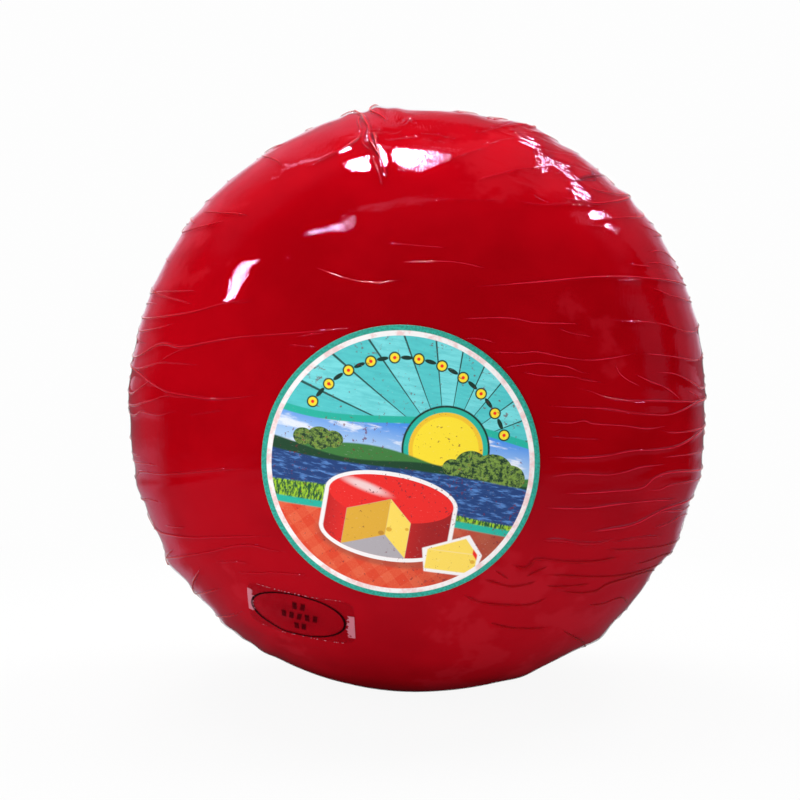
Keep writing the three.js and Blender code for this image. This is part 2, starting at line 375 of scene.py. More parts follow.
label = {
    "x": -4.7 * mm,  # its middle, seen from the front and counted from the ball's middle
    "z": -9.4 * mm,
    "halfWide": 32.8 * mm,
    "halfHigh": 32.8 * mm,
    "corner": 2,  # power of the outline: 2 is round, more is squarer
    "turn": 0,
    "inner": 0.08 * mm,  # lift of its back over the smooth ball
    "outer": 0.32 * mm,
    "rings": 48,
    "segments": 192,
}
sticker = {
    "x": -29 * mm,
    "z": -48 * mm,
    "halfWide": 13.8 * mm,
    "halfHigh": 7.2 * mm,
    "corner": 7,
    "turn": -11 * degree,
    "inner": 0.06 * mm,
    "outer": 0.16 * mm,
    "rings": 24,
    "segments": 160,
}
folds = {
    "most": 1.0 * mm,  # the film's own waves stand no higher
    "calmMargin": 1.2 * mm,  # the film lies smooth this far round the label and the sticker
    "calmEdge": (0.94, 1.06),  # shares of that outline over which it starts to wave
    "slack": 0.05 * mm,  # slow waves between the creases
    # these waves: how often each comes up the ball, its bend, how often and where that turns, and its start
    "waves": ((31, 2.2, 2.3, 0, 0), (47, 1.7, 3.1, 1, 2)),
    "broad": 0.8,  # share of a crease's height that the film and the wax beside it rise
    "above": 2.3 * mm,  # how far that wave reaches up from the crease, and down
    "under": 0.8 * mm,
    "step": 0.6 * mm,  # along a crease
    "ends": (0.14, 0.2),  # shares of its length over which a crease comes in and goes out
    # a crease that runs on over the rim has two more points: shares of the way round, and of its last height
    "runOn": ((0.45, 1.02), (1, 1.08)),
    # creases drawn at random: side, count, degrees round from the front where they start and end, degrees up
    # of the lowest and the highest, height in mm
    "loose": (
        (-1, 26, (66, 80), (96, 150), (-62, 66), (0.12, 0.24)),
        (-1, 22, (100, 150), (150, 185), (-60, 62), (0.12, 0.24)),
        (1, 26, (66, 80), (96, 150), (-62, 66), (0.12, 0.24)),
        (1, 22, (100, 150), (150, 185), (-60, 62), (0.12, 0.24)),
        (1, 8, (40, 60), (70, 100), (62, 80), (0.10, 0.20)),
        (-1, 7, (80, 100), (120, 150), (60, 80), (0.10, 0.20)),
    ),
    "seed": 11,
    "looseBend": (3, 4, 1.2),  # degrees up by which they are off, lean and bow
    "looseWidth": (0.34, 0.48),
    # where the rim is fuller or flatter: clock in degrees up from +X, change in mm, half width in degrees
    "rim": ((0, -1.4, 9), (14, -0.4, 5), (27, -0.6, 6), (47, -0.8, 5), (62, -0.6, 2), (69, 1.3, 7),
            (75, -0.7, 2.5), (98, 0.4, 3), (107, 0.5, 3), (126, -0.5, 6), (152, -1.1, 18), (177, 0.5, 2),
            (179, -0.4, 8), (196, 0.7, 1.2), (206, -0.1, 4), (212, 0.8, 1.2), (222, -0.6, 2.5),
            (238, 0.5, 1.5), (291, 0.7, 2.5), (308, 0.7, 2), (322, 0.5, 2), (324, -1.3, 3),
            (332, 0.5, 2.5), (339, -1.0, 3), (345, 0.4, 2.5)),
    # corners that stand up across the rim: clock in degrees up from +X, then y, height, width, length in mm
    "corners": [
        (98.2, -4, 1.45, 2.4, 16),  # top knot
        (94.6, -5, 0.8, 2.6, 16),
        (103, -5, 1.0, 2.6, 14),
        (45, -8, 0.9, 2.6, 15),  # upper right flap
        (-22, -5, 0.8, 3.0, 15),  # right corner
        (-53, -8, 1.0, 6.0, 15),  # lower right flap
        (214, -8, 0.9, 3.0, 14),  # lower left tuck
        (222, -6, 0.8, 2.6, 16),  # lower left fold
        (229, -8, 0.9, 2.6, 14),  # lower left corner
        (233, -8, 0.7, 2.0, 12),
    ],
    # creases on the front: height and width in mm, degrees that it runs on over the rim, and the
    # places along it in the camera's frame, from its free end
    "front": [
        (0.26, 0.50, 45, (353, 328), (300, 333), (235, 338), (184, 347), (160, 344), (134, 357)),
        (0.13, 0.32, 0, (325, 333), (309, 335), (296, 337)),
        (0.11, 0.32, 0, (207, 342), (175, 352), (158, 362)),
        (0.12, 0.35, 30, (203, 366), (172, 363), (158, 363), (136, 369)),
        (0.20, 0.45, 40, (264, 394), (235, 398), (212, 399), (189, 396), (168, 392), (152, 384), (135, 371)),
        (0.13, 0.35, 35, (200, 398), (180, 397), (166, 396), (149, 401), (131, 406)),
        (0.15, 0.35, 30, (179, 410), (158, 415), (140, 412), (132, 416)),
        (0.08, 0.30, 0, (223, 410), (205, 413), (190, 415)),
        (0.13, 0.35, 20, (150, 380), (140, 387), (131, 394)),
        (0.14, 0.35, 15, (159, 467), (149, 464), (135, 462)),
        (0.09, 0.30, 10, (141, 457), (132, 453)),
        (0.13, 0.45, 30, (260, 468), (216, 470), (168, 474), (141, 472), (134, 479)),
        (0.16, 0.38, 20, (165, 504), (151, 499), (141, 499)),
        (0.24, 0.50, 35, (277, 536), (225, 536), (199, 537), (176, 535), (159, 529), (147, 517)),
        (0.09, 0.30, 0, (186, 527), (166, 525)),
        (0.20, 0.45, 25, (290, 552), (271, 550), (252, 545), (233, 546), (215, 550), (194, 553), (172, 555)),
        (0.13, 0.35, 0, (249, 563), (233, 561), (217, 562)),
        (0.14, 0.38, 0, (309, 575), (273, 572), (262, 573), (235, 572)),
        (0.34, 0.55, 10, (176, 548), (170, 558), (166, 566)),
        (0.34, 0.55, 6, (201, 565), (200, 572), (195, 583), (195, 594)),
        (0.22, 0.45, 15, (222, 588), (210, 591), (197, 594)),
        (0.22, 0.45, 15, (245, 609), (232, 614), (217, 616)),
        (0.20, 0.38, 0, (248, 216), (237, 214), (218, 213), (202, 212)),
        (0.20, 0.42, 20, (226, 220), (205, 226), (183, 232)),
        (0.26, 0.42, 0, (284, 168), (274, 160), (262, 154)),
        (0.13, 0.35, 20, (199, 291), (175, 291), (149, 293)),
        (0.20, 0.42, 40, (257, 297), (245, 300), (222, 304), (182, 314), (143, 318)),
        (0.12, 0.35, 25, (195, 305), (174, 299), (152, 292)),
        (0.12, 0.35, 25, (176, 322), (160, 327), (140, 331)),
        (0.11, 0.30, 0, (318, 348), (303, 346), (289, 345)),
        (0.17, 0.38, 0, (314, 267), (335, 275), (357, 281), (380, 283), (404, 279)),
        (0.11, 0.32, 0, (388, 243), (420, 246), (447, 248)),
        (0.12, 0.32, 0, (400, 262), (451, 262), (488, 269)),
        (0.08, 0.30, 0, (222, 302), (238, 303), (253, 301)),
        # top
        (0.09, 1.30, 0, (374, 131), (384, 134), (393, 134), (402, 130)),
        (0.12, 1.40, 0, (385, 141), (400, 138), (420, 136)),
        (0.20, 1.20, 0, (392, 127), (404, 124), (409, 119), (416, 124)),
        (0.115, 1.30, 0, (421, 133), (437, 134), (455, 139)),
        (0.075, 1.20, 0, (423, 139), (437, 140), (453, 142)),
        (0.12, 1.30, 0, (476, 133), (489, 130), (499, 128), (510, 125)),
        (0.08, 1.20, 0, (484, 145), (500, 141), (521, 141)),
        (0.14, 1.00, 0, (509, 133), (518, 138), (526, 146)),
        (0.12, 0.50, 0, (443, 163), (452, 160), (466, 154), (490, 147)),
        (0.12, 0.50, 0, (477, 181), (490, 177), (520, 172), (552, 170)),
        (0.10, 0.50, 0, (427, 201), (445, 200), (475, 201), (512, 202)),
        (0.28, 0.55, 0, (340, 119), (350, 114), (358, 116)),
        (0.55, 1.10, 0, (345, 115), (354, 112), (362, 118), (368, 128), (370, 142), (376, 152), (384, 163)),
        (0.45, 1.10, 0, (374, 134), (377, 147), (381, 160), (387, 180)),
        (0.18, 0.50, 0, (372, 158), (376, 166), (379, 175), (383, 187)),
        (0.26, 0.60, 0, (362, 118), (361, 133), (349, 147), (330, 157), (300, 171)),
        (0.40, 0.90, 0, (377, 104), (377, 112), (381, 119), (386, 124)),
        (0.20, 0.50, 0, (372, 128), (366, 133), (363, 144), (371, 151)),
        # upper right
        (0.14, 1.10, 0, (528, 143), (537, 144), (547, 148)),
        (0.13, 1.20, 10, (529, 150), (540, 152), (556, 154), (574, 158)),
        (0.08, 1.20, 0, (531, 156), (542, 158), (551, 157)),
        (0.08, 1.40, 10, (535, 162), (550, 162), (562, 165), (580, 170), (597, 176)),
        (0.08, 1.20, 0, (550, 173), (560, 173), (571, 172)),
        (0.08, 1.20, 10, (550, 179), (560, 178), (568, 181), (590, 180)),
        (0.18, 0.70, 15, (566, 187), (577, 182), (590, 178), (606, 176), (616, 182)),
        (0.06, 1.10, 0, (568, 194), (576, 191), (585, 186)),
        (0.18, 0.60, 12, (581, 185), (590, 189), (606, 193), (628, 197)),
        (0.06, 1.10, 0, (581, 189), (588, 194), (594, 201)),
        (0.12, 0.90, 0, (534, 196), (540, 199), (547, 203)),
        (0.24, 0.60, 15, (554, 194), (564, 199), (580, 202), (596, 204), (612, 202), (630, 197)),
        (0.12, 0.50, 0, (518, 203), (545, 206), (565, 205), (586, 206), (601, 206)),
        (0.14, 0.45, 12, (588, 221), (606, 219), (622, 218), (641, 218)),
        (0.14, 0.34, 20, (637, 225), (648, 230), (661, 237)),
        (0.16, 0.36, 25, (646, 252), (663, 253), (675, 262)),
        (0.12, 0.32, 0, (588, 224), (596, 226), (604, 226)),
        # right
        (0.12, 0.32, 0, (630, 265), (640, 266), (650, 267)),
        (0.16, 0.36, 30, (641, 263), (661, 264), (677, 271), (682, 279)),
        (0.22, 0.45, 40, (467, 287), (503, 285), (543, 282), (584, 278), (618, 277), (663, 280), (687, 285)),
        (0.12, 0.30, 0, (616, 280), (628, 280), (642, 280)),
        (0.16, 0.36, 30, (646, 286), (658, 290), (673, 296), (692, 302)),
        (0.14, 0.36, 0, (460, 319), (494, 318), (515, 319), (537, 323), (584, 324)),
        (0.12, 0.34, 30, (606, 320), (634, 321), (662, 324), (690, 332)),
        (0.10, 0.32, 0, (558, 328), (570, 333), (593, 337)),
        (0.12, 0.34, 0, (460, 339), (479, 339), (496, 343)),
        (0.14, 0.36, 0, (486, 352), (520, 353), (536, 352), (556, 356), (572, 359), (598, 360), (639, 353)),
        (0.15, 0.36, 0, (501, 368), (532, 364), (546, 364), (567, 367), (580, 372), (593, 374)),
        (0.13, 0.34, 0, (521, 372), (543, 376), (572, 377), (584, 380), (606, 383)),
        (0.22, 0.42, 40, (568, 386), (589, 391), (608, 398), (632, 401), (658, 401), (705, 401)),
        (0.16, 0.36, 0, (615, 364), (620, 374), (629, 381), (642, 387)),
        (0.18, 0.38, 0, (635, 374), (649, 381), (667, 388), (684, 401)),
        (0.20, 0.38, 40, (652, 373), (670, 373), (682, 376), (698, 384), (706, 388)),
        (0.14, 0.34, 20, (640, 353), (670, 356), (697, 360)),
        (0.16, 0.36, 20, (688, 389), (697, 394), (705, 400)),
        (0.20, 0.42, 30, (541, 405), (563, 407), (606, 409), (632, 413), (655, 415), (675, 414), (701, 402)),
        (0.16, 0.36, 0, (543, 422), (570, 423), (584, 421), (594, 424), (624, 426), (649, 429), (672, 425)),
        (0.18, 0.36, 30, (661, 429), (673, 433), (696, 431)),
        (0.08, 0.30, 0, (548, 437), (580, 439), (604, 440)),
        (0.24, 0.48, 30, (541, 457), (580, 458), (606, 456), (632, 451), (658, 450), (680, 446), (706, 429)),
        (0.14, 0.34, 25, (660, 458), (680, 456), (701, 453)),
        (0.16, 0.38, 0, (546, 478), (572, 474), (606, 475), (625, 472), (642, 467), (669, 464)),
        (0.26, 0.50, 35, (556, 494), (589, 493), (615, 491), (641, 488), (655, 477), (675, 472), (701, 469)),
        (0.18, 0.38, 20, (641, 489), (658, 490), (675, 484), (701, 477)),
        # lower right
        (0.20, 0.50, 0, (540, 508), (586, 508), (620, 504), (655, 501), (683, 499)),
        (0.26, 0.80, 30, (582, 533), (609, 529), (632, 524), (655, 514), (669, 508), (689, 501)),
        (0.20, 0.55, 20, (650, 520), (664, 512), (683, 511)),
        (0.18, 0.50, 15, (652, 528), (666, 524), (681, 517)),
        (0.18, 0.90, 0, (540, 540), (563, 541), (586, 544), (604, 542), (616, 536)),
        (0.16, 0.70, 0, (611, 542), (639, 537), (660, 535)),
        (0.18, 0.75, 20, (600, 548), (620, 550), (655, 546), (673, 540)),
        (0.18, 0.90, 0, (509, 564), (523, 568), (531, 564), (538, 559), (578, 562), (622, 557)),
        (0.10, 0.60, 0, (526, 576), (537, 571), (548, 566)),
        (0.16, 0.70, 20, (634, 565), (648, 561), (661, 554)),
        (0.17, 0.80, 20, (540, 574), (560, 575), (605, 576), (638, 572), (655, 566)),
        (0.14, 0.75, 0, (483, 579), (509, 586), (526, 584), (538, 580)),
        (0.10, 0.55, 0, (495, 570), (502, 575), (509, 579)),
        (0.12, 0.65, 0, (545, 585), (560, 586), (591, 583)),
        (0.18, 0.85, 20, (557, 590), (578, 592), (595, 590), (605, 584), (621, 579), (640, 574)),
        (0.15, 0.80, 0, (462, 594), (480, 602), (509, 605), (530, 604), (550, 596)),
        (0.12, 0.60, 10, (585, 604), (600, 603), (616, 597)),
        (0.14, 0.70, 0, (488, 622), (509, 627), (530, 628), (549, 627)),
        (0.20, 0.70, 10, (560, 628), (574, 636), (584, 645)),
    ],
}


def smoothPath(points, count):
    # a curve through points by Catmull and Rom's rule: a cubic between each two, which takes its slopes from
    # the points beside them
    points = np.asarray(points, float)
    ends = np.concatenate([2 * points[:1] - points[1:2], points, 2 * points[-1:] - points[-2:-1]])
    place = np.linspace(0, len(points) - 1, count)
    piece = np.minimum(place.astype(int), len(points) - 2)
    t = (place - piece)[:, None]
    a, b, c, d = (ends[piece + step] for step in range(4))
    bend, twist = 2 * a - 5 * b + 4 * c - d, 3 * b - 3 * c + d - a
    return 0.5 * (2 * b + (c - a) * t + bend * t ** 2 + twist * t ** 3)


def evenPath(lonLats):
    # the same curve with its points spaced evenly along the ball
    fine = smoothPath(lonLats, 40 * len(lonLats))
    places = smoothBall(fine[:, 0], fine[:, 1])
    run = np.append(0, np.cumsum(np.linalg.norm(np.diff(places, axis=0), axis=1)))
    count = max(8, int(run[-1] / folds["step"]))
    even = np.linspace(0, run[-1], count)
    return np.stack([np.interp(even, run, fine[:, 0]), np.interp(even, run, fine[:, 1])], 1)


def frontPaths():
    # the listed creases, each run on over the rim where it goes there
    paths = []
    share, rise = np.transpose(folds["runOn"])
    for high, wide, onward, *places in folds["front"]:
        lon, lat = seenAt(places)
        if onward:
            side = np.sign(lon[-1])
            lon = np.append(lon, lon[-1] + side * onward * degree * share)
            lat = np.append(lat, lat[-1] * rise)
        paths.append((evenPath(np.stack([lon, lat], 1)), high * mm, wide * mm))
    return paths


def loosePaths(draw, side, count, inner, outer, heights, high):
    # nearly level creases across one rim, drawn at random between inner and outer degrees from the front
    off, lean, bow = folds["looseBend"]
    paths = []
    for lat in np.linspace(*heights, count):
        start = side * draw.uniform(*inner)
        end = side * draw.uniform(*outer)
        bend = lat + draw.uniform(-off, off) + np.array([0, 0.4, 0.7, 1]) * draw.uniform(-lean, lean)
        bend = bend + np.array([0, 1, 1, 0]) * draw.uniform(-bow, bow)
        lon = start + (end - start) * np.array([0, 0.35, 0.7, 1])
        path = evenPath(np.stack([lon, bend], 1) * degree)
        paths.append((path, draw.uniform(*high) * mm, draw.uniform(*folds["looseWidth"]) * mm))
    return paths


def allPaths():
    draw = np.random.default_rng(folds["seed"])
    paths = frontPaths()
    for loose in folds["loose"]:
        paths += loosePaths(draw, *loose)
    return paths


creasePaths = allPaths()


def endFade(run):
    # 0 at both ends of a crease, 1 along most of it
    first, last = folds["ends"]
    return smoothstep(0, first, run) * smoothstep(0, last, 1 - run)


def broadHeight(p):
    # beside each crease the surface rises in a low wave, a share of its height * exp(-(distance / reach)^2),
    # with a long reach up from the crease and a short one down, so it hangs over like a shingle
    flat = p.reshape(-1, 3)
    height = np.zeros(len(flat))
    box = 2.5 * folds["above"]  # the wave has died out beyond it, so only nearer points count
    for lonLats, high, wide in creasePaths:
        path = smoothBall(*lonLats[::2].T)
        near = np.flatnonzero(((flat > path.min(0) - box) & (flat < path.max(0) + box)).all(1))
        step = path[1:] - path[:-1]
        offset = flat[near, None] - path[:-1]
        along = np.clip((offset * step).sum(2) / (step ** 2).sum(1), 0, 1)
        offset -= along[..., None] * step
        distance = (offset ** 2).sum(2)
        nearest = distance.argmin(1)
        pick = np.arange(len(near))
        run = (nearest + along[pick, nearest]) / len(step)
        reach = np.where(offset[pick, nearest, 2] > 0, folds["above"], folds["under"])
        height[near] += folds["broad"] * high * endFade(run) * np.exp(-distance[pick, nearest] / reach ** 2)
    return height.reshape(p.shape[:-1])


def cornerHeight(p):
    # the standing corners: a bell along the rim times a bell across it
    height = np.zeros(p.shape[:-1])
    for clock, y, high, wide, long in folds["corners"]:
        turn = (np.arctan2(p[..., 2], p[..., 0]) / degree - clock + 180) % 360 - 180
        across = turn * degree * np.hypot(p[..., 0], p[..., 2]) / (wide * mm)
        over = (p[..., 1] - y * mm) / (long * mm)
        height += high * mm * np.exp(-across ** 2 - over ** 2)
    return height


def swellHeight(p):
    # on the rim, diagonalSwell * sin(2 clock)^2 and a bell over the clock for each fuller or flatter place;
    # none on the flat ends
    clock = np.arctan2(p[..., 2], p[..., 0])
    height = ball["diagonalSwell"] * np.sin(2 * clock) ** 2
    for middle, change, wide in folds["rim"]:
        turn = (clock / degree - middle + 180) % 360 - 180
        height = height + change * mm * np.exp(-(turn / wide) ** 2 / 2)
    return height * (np.hypot(p[..., 0], p[..., 2]) / ball["rimRadius"]) ** 4


def calmShare(p, patch):
    # 0 under a piece that is stuck on, 1 beyond its margin
    dx, dz = p[..., 0] - patch["x"], p[..., 2] - patch["z"]
    cos, sin = math.cos(patch["turn"]), math.sin(patch["turn"])
    across = np.abs(dx * cos + dz * sin) / (patch["halfWide"] + folds["calmMargin"])
    up = np.abs(dz * cos - dx * sin) / (patch["halfHigh"] + folds["calmMargin"])
    out = (across ** patch["corner"] + up ** patch["corner"]) ** (1 / patch["corner"])
    return np.where(p[..., 1] > 0, 1, smoothstep(*folds["calmEdge"], out))


def calmAt(p):
    return np.minimum(calmShare(p, label), calmShare(p, sticker))


def filmLift(p):
    # how far the film stands over the smooth ball: swell, creases' broad waves, corners, and slack waves,
    # which are each sin(often * latitude + bend * sin(turns * longitude + first) + start)
    lon, lat = lonLat(p)
    waves = sum(np.sin(lat * often + bend * np.sin(lon * turns + first) + start)
                for often, bend, turns, first, start in folds["waves"])
    height = folds["most"] * np.tanh(broadHeight(p) / folds["most"])
    height = height + np.maximum(cornerHeight(p) - height, 0) + folds["slack"] * (waves / 2 - 1)
    return swellHeight(p) + calmAt(p) * height


wax = {
    "below": 0.14 * mm,  # under the film
    "cornersIn": 0.25,  # share of a standing corner that is film alone
    "rows": 420,
    "frontColumns": 150,  # from the left rim over the front to the right rim
    "backColumns": 80,
    "colour": srgb(170, 3, 16),
    "deepColour": srgb(155, 1, 12),
    "airColour": srgb(178, 22, 34),  # in cloudy patches where air lies between the wax and the film
    "gloss": 0.0,  # its own shine is lost where the film clings to it
    "roughness": 0.34,
}


def ballGrid(shape):
    # longitudes and latitudes from the bottom pole to the top pole, with more columns over the front
    lat = np.linspace(-90, 90, shape["rows"])
    front = np.linspace(-90, 90, shape["frontColumns"], endpoint=False)
    back = np.linspace(90, 270, shape["backColumns"], endpoint=False)
    lon, lat = np.meshgrid(np.append(front, back), lat)
    return lon * degree, lat * degree


def waxMaterial():
    # deep red wax: a slow change of tone, ragged paler patches and fine pores
    material, tree = newMaterial("redWax")
    places = objectPlaces(tree)
    cloud = ramp(tree, noise(tree, places, 28, 4, 0.6), 0.35, 0.65)
    air = ramp(tree, noise(tree, places, 24, 5, 0.62), 0.57, 0.61, 0.0, 0.5)
    pores = noise(tree, places, 900, 3, 0.6)
    shader = addNode(tree, "ShaderNodeBsdfPrincipled", {
        "Base Color": mixColour(tree, air, mixColour(tree, cloud, wax["deepColour"], wax["colour"]),
                                wax["airColour"]),
        "Roughness": ramp(tree, cloud, 0.0, 1.0, wax["roughness"] - 0.04, wax["roughness"] + 0.05),
        "Specular IOR Level": wax["gloss"],
        "Normal": bumpFrom(tree, pores, 0.25, 0.03 * mm)}).outputs[0]
    finishMaterial(tree, shader)
    return material


def makeWax():
    # the film's own form, drawn in a little
    p = smoothBall(*ballGrid(wax))
    lift = filmLift(p) - wax["below"] - wax["cornersIn"] * calmAt(p) * cornerHeight(p)
    p = standing(p + smoothNormal(p) * lift[..., None])
    p[..., 2] = np.maximum(p[..., 2], wax["below"])
    item = gridPiece("waxed_cheese", p, wrapColumns=True, poles=True)
    item.data.materials.append(waxMaterial())
    return item


waxedCheese = makeWax()
print("wax: made")


shell = {
    "rows": 551,
    "frontColumns": 122,
    "backColumns": 58,
}


def makeFilm():
    # tight clear film all round
    p = smoothBall(*ballGrid(shell))
    p = standing(p + smoothNormal(p) * filmLift(p)[..., None])
    item = gridPiece("clear_film", p, wrapColumns=True, poles=True)
    material, tree = newMaterial("tightFilm")
    finishMaterial(tree, clearSkin(tree, 0.0, film["mirror"], 1.0, film["scratches"], film["ripples"],
                                   film["ior"], film["ior"]))
    item.data.materials.append(material)
    return item


clearFilm = makeFilm()
print("film: made")


band = {
    # where the points of a crease's section lie across it, in crease widths, up from its crest
    "across": (-0.72, -0.5, -0.38, -0.27, -0.16, -0.05, 0.08, 0.24, 0.44, 0.7, 1.0),
    "foot": -0.46,  # the lower flank rises from here to the crest, and the upper flank falls to the head
    "crest": 0.0,
    "head": 0.95,
    "uneven": (0.15, 17, 40),  # share by which its width varies, how often, and where that starts
    "over": 0.012 * mm,  # how far its edges clear the film
    "under": 0.05 * mm,  # how deep its back lies in the film
    "cover": 0.9,  # how much of the wax a crease hides, unless it is lower than full
    "full": 0.1 * mm,
    # height by width: a crease less steep than the first hides none of the wax, but low down on the right
    # each one does, from the first height of heavy to the second, and as far from the middle as right says
    "sharp": (0.17, 0.36),
    "heavy": (-22 * mm, -34 * mm),
    "right": (0, 15 * mm),
    "dull": 0.3,  # share of its own shine that a sharp crease loses
    # these colours carry painted light: bright is a painted sheen and plain a painted lighter red on upper
    # flanks, shade is painted shade on lower flanks, lit a painted lighter red on them on the right, and deep
    # is painted shade low down on the right
    "bright": srgb(235, 40, 66),
    "plain": srgb(195, 14, 32),
    "shade": srgb(162, 2, 14),
    "deep": srgb(160, 0, 10),
    "lit": srgb(186, 12, 32),
    "paintedSheenSide": (-50 * mm, 30 * mm),  # from where to where, going right, upper flanks turn to the painted sheen
    "litSide": (-20 * mm, 20 * mm),  # and lower flanks turn to a painted lighter red
    "paintedShadeUpTo": (38 * mm, 52 * mm),  # over the floor, between which the painted shade low down on the right fades out
    "shine": 1.4,  # a crease shines less than the film, by its ior
    "scratches": 0.2,
    "ripples": 0.6,
}


def bandSection(path, lonLats, wide):
    # a crease's section laid across its path, narrowing to a point at both ends, as rows of places on the
    # smooth ball: its width is wide * sqrt(endFade) * (1 - uneven + uneven * sin(often * run + start * wide))
    run = np.linspace(0, 1, len(path))
    side = np.cross(smoothNormal(path), np.gradient(path, axis=0))
    side /= np.linalg.norm(side, axis=1, keepdims=True)
    side *= 1 if lonLats[-1, 0] > lonLats[0, 0] else -1  # towards the top of the ball
    uneven, often, start = band["uneven"]
    taper = wide * np.sqrt(endFade(run)) * (1 - uneven + uneven * np.sin(run * often + wide / mm * start))
    across = np.array(band["across"])
    start = path[:, None] + (taper[:, None] * across)[..., None] * side[:, None]
    return smoothBall(*lonLat(start)), across + 0 * run[:, None], endFade(run)[:, None] + 0 * across


def makeBands(name, paths):
    # each crease is a small ridge on the film, closed underneath: its height rises by a smooth step from the
    # foot to the crest and falls by another to the head
    grids, shapes = [], []
    for lonLats, high, wide in paths:
        on, across, fade = bandSection(smoothBall(*lonLats.T), lonLats, wide)
        shapes.append(on.shape[:2])
        sharp = 0 * across + smoothstep(*band["sharp"], high / wide)
        grids.append(np.stack([*np.moveaxis(on, -1, 0), across, fade * high, sharp], -1).reshape(-1, 6))
    flat = np.concatenate(grids)
    on, across, high, sharp = flat[:, :3], flat[:, 3], flat[:, 4], flat[:, 5]
    normal, lift, calm = smoothNormal(on), filmLift(on), calmAt(on)
    foot, crest, head = band["foot"], band["crest"], band["head"]
    rise = smoothstep(foot, crest, across) * (1 - smoothstep(crest, head, across))
    upper = standing(on + normal * (lift + calm * high * rise + band["over"])[:, None])
    lower = standing(on + normal * (lift - band["under"])[:, None])
    hidden = np.where(across < crest, np.sqrt(rise), rise ** 2)
    heavy = smoothstep(*band["heavy"], on[:, 2]) * smoothstep(*band["right"], on[:, 0])
    cover = calm * hidden * np.minimum(high / band["full"], 1) * np.maximum(sharp, heavy)
    values = np.stack([cover, across, (1 - heavy) * (1 - band["dull"] * sharp)], -1)
    points, faces, kept = [], [], []
    first, done = 0, 0
    for rows, columns in shapes:
        part = slice(first, first + rows * columns)
        first += rows * columns
        back = lower[part].reshape(rows, columns, 3)[:, columns // 2:columns // 2 + 1]
        p = np.concatenate([upper[part].reshape(rows, columns, 3), back], 1)
        p[0], p[-1] = p[0].mean(0), p[-1].mean(0)
        faces += gridFaces(rows, columns + 1, True, True, done)
        points.append(poleOrder(p))
        done += len(points[-1])
        kept.append(poleOrder(np.pad(values[part].reshape(rows, columns, 3), ((0, 0), (0, 1), (0, 0)))))
    item = newPiece(name, np.concatenate(points), faces)
    for attributeName, column in zip(("cover", "across", "gloss"), np.concatenate(kept).T):
        addValues(item, attributeName, column)
    return item


def bandMaterial():
    # doubled film over the wax, with painted light and shade: a darker red of painted shade on a crease's
    # lower flank and a lighter red of painted light on its upper flank, a painted sheen palest on the right,
    # and a deep red of painted shade all over low down on the right
    material, tree = newMaterial("creasedFilm")
    places = objectPlaces(tree)
    parts = partsOf(tree, places)
    # painted sheen on upper flanks, in noisy patches, growing towards the right
    patches = ramp(tree, noise(tree, places, 90, 3, 0.6), 0.3, 0.5)
    pale = times(tree, patches, ramp(tree, parts["X"], *band["paintedSheenSide"], 0.15, 1.0))
    upper = mixColour(tree, pale, band["plain"], band["bright"])
    # painted shade on lower flanks, turning to a painted lighter red on the right
    onRight = ramp(tree, parts["X"], *band["litSide"])
    lower = mixColour(tree, onRight, band["shade"], band["lit"])
    colour = mixColour(tree, ramp(tree, attribute(tree, "across"), -0.22, 0.02), lower, upper)
    # painted shade low down on the right
    low = times(tree, onRight, ramp(tree, parts["Z"], *band["paintedShadeUpTo"], 1.0, 0.0))
    colour = mixColour(tree, low, colour, band["deep"])
    cover = times(tree, attribute(tree, "cover"), band["cover"])
    # the mirror takes on the colour before it stops being a mirror, so no pale edge comes between
    colour = mixColour(tree, ramp(tree, cover, 0.01, 0.03), film["mirror"], colour)
    metal = ramp(tree, cover, 0.03, 0.05, 1.0, 0.0)
    finishMaterial(tree, clearSkin(tree, cover, colour, metal, band["scratches"], band["ripples"],
                                   film["ior"], band["shine"], attribute(tree, "gloss")))
    return material


frontCount = len(folds["front"])
creasedFilm = bandMaterial()
frontCreases = makeBands("front_creases", creasePaths[:frontCount])
sideCreases = makeBands("side_creases", creasePaths[frontCount:])
for item in (frontCreases, sideCreases):
    item.data.materials.append(creasedFilm)
print("creases: made,", len(creasePaths))


def landOnBall(start, way):
    # each point slides along way until it meets the smooth ball, found by halving the step
    near = np.zeros(start.shape[:-1])
    far = near + ball["rimRadius"]
    for halving in range(36):
        middle = (near + far) / 2
        outside = shoulderValue(start + way * middle[..., None]) > 0
        near, far = np.where(outside, middle, near), np.where(outside, far, middle)
    return start + way * near[..., None]


